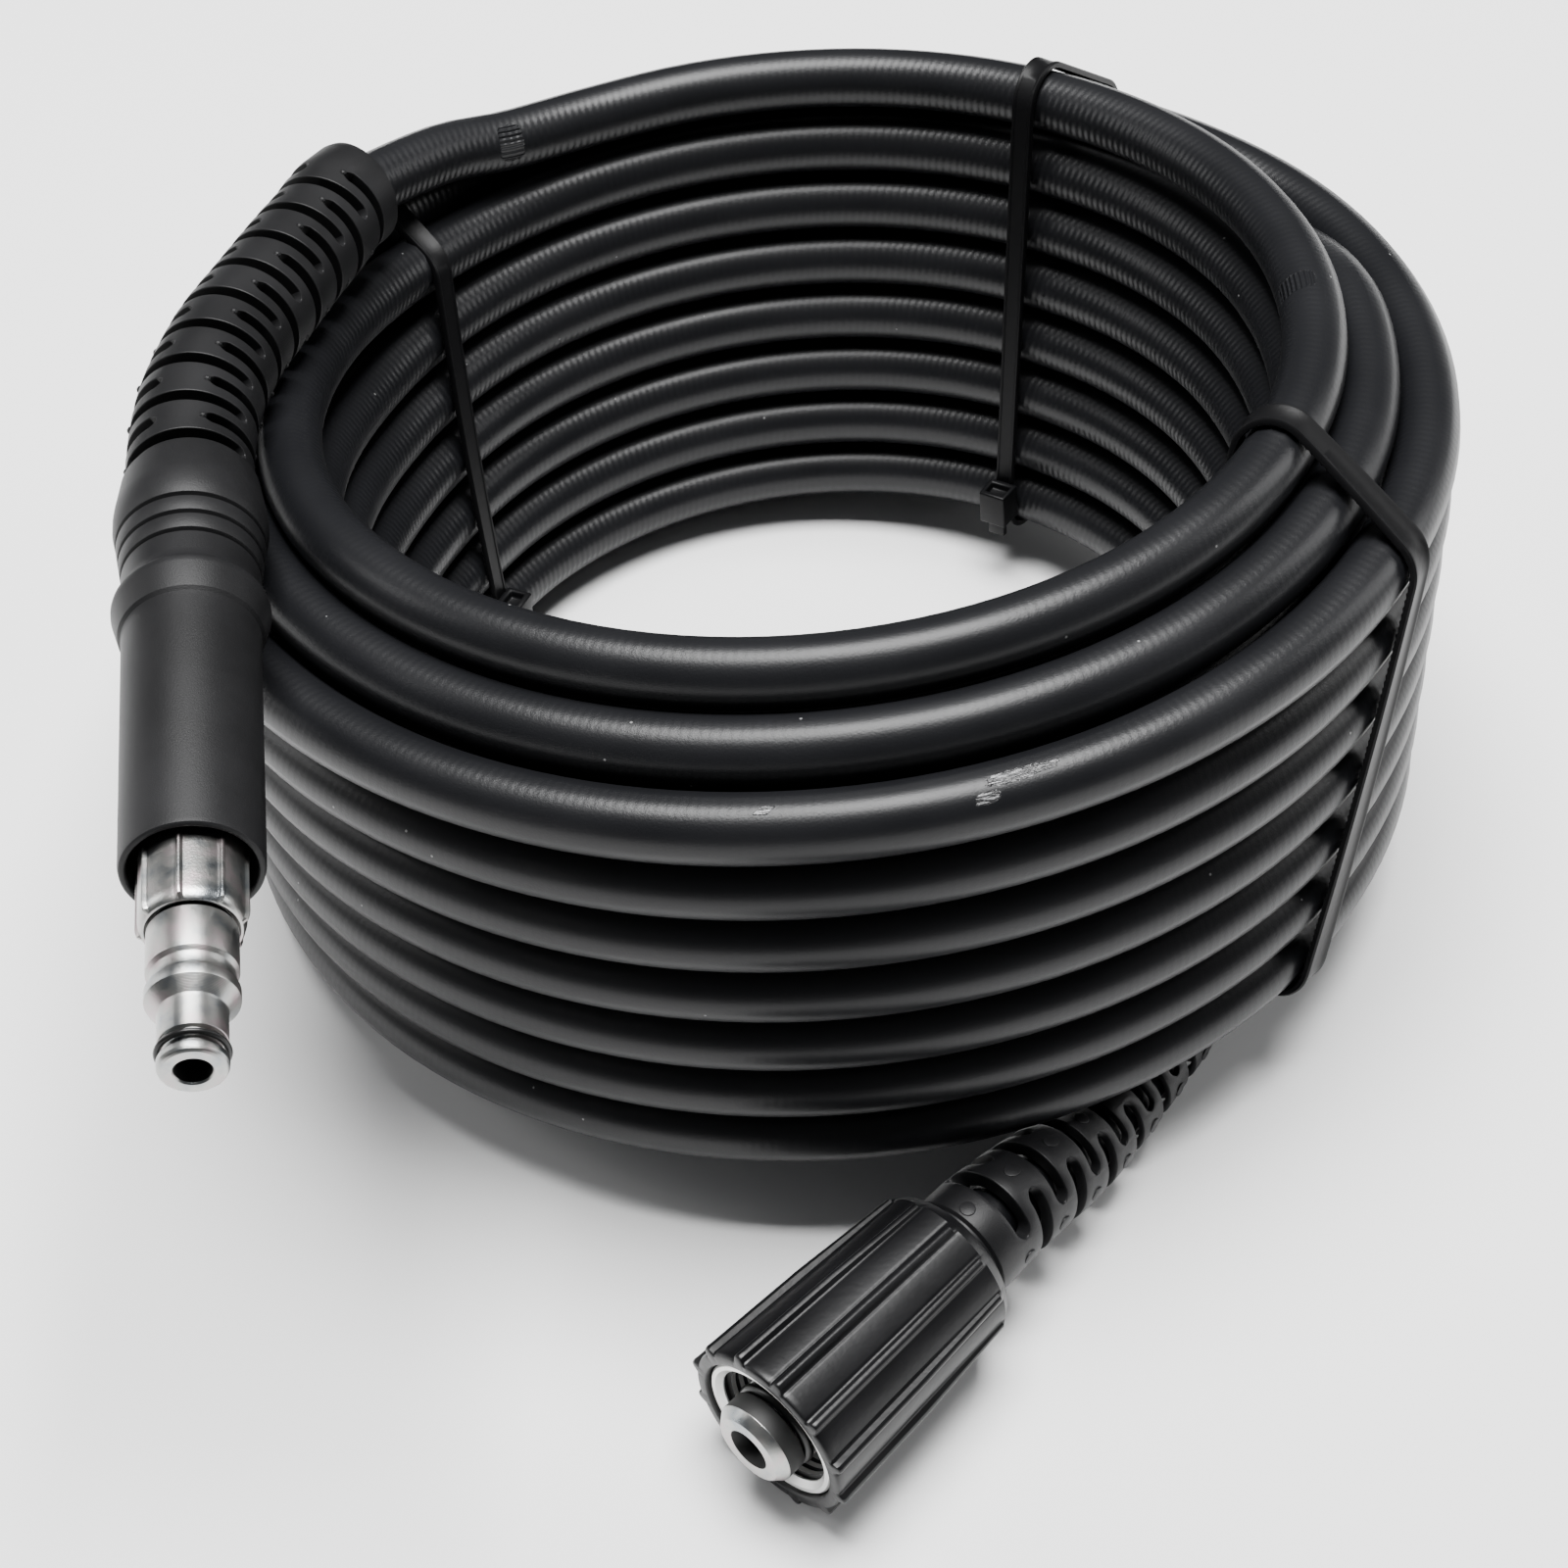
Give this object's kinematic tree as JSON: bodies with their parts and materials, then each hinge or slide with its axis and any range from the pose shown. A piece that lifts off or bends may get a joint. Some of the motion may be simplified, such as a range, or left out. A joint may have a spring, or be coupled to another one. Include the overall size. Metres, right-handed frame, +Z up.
{
  "type": "pressure washer hose",
  "caption": "Coiled black high-pressure hose held by cable ties, with a quick plug on one end and a ribbed screw nut on the other.",
  "frame": {"origin": "on the floor, at the centre of the whole object's plan box", "axes": "+Z up; +Y the longest way, from the fittings' free ends towards the back of the coil"},
  "size_m": [0.2252, 0.2836, 0.1164],
  "materials": {
    "hose_rubber": "satin black hose cover with faint cross ripples",
    "soft_moulding": "matt black flexible moulding",
    "nut_plastic": "semi-gloss black hard plastic",
    "zinc_plate": "bright zinc-plated steel, faintly iridescent",
    "seal_rubber": "black O-ring rubber",
    "tie_nylon": "black nylon, semi-gloss"
  },
  "bodies": {
    "hose": {"hose_coil": "hose_rubber", "hose_top_turn": "hose_rubber", "hose_pump_lead": "hose_rubber", "gun_end_sleeve": "soft_moulding", "gun_ferrule": "zinc_plate", "quick_plug": "zinc_plate", "plug_o_ring": "seal_rubber", "pump_restrictor": "soft_moulding", "pump_nipple": "zinc_plate", "nipple_o_ring": "seal_rubber", "pump_ferrule": "zinc_plate", "tie_left": "tie_nylon", "tie_back": "tie_nylon", "tie_right": "tie_nylon"},
    "coupling_nut": {"nut_grip": "nut_plastic", "nut_insert": "zinc_plate"}
  },
  "joints": [
    {"name": "nut_spin", "type": "hinge", "parent": "hose", "child": "coupling_nut", "pos_m": [-0.01682, -0.13008, 0.0162], "axis": [0.729, 0.6845, 0], "continuous": true}
  ]
}
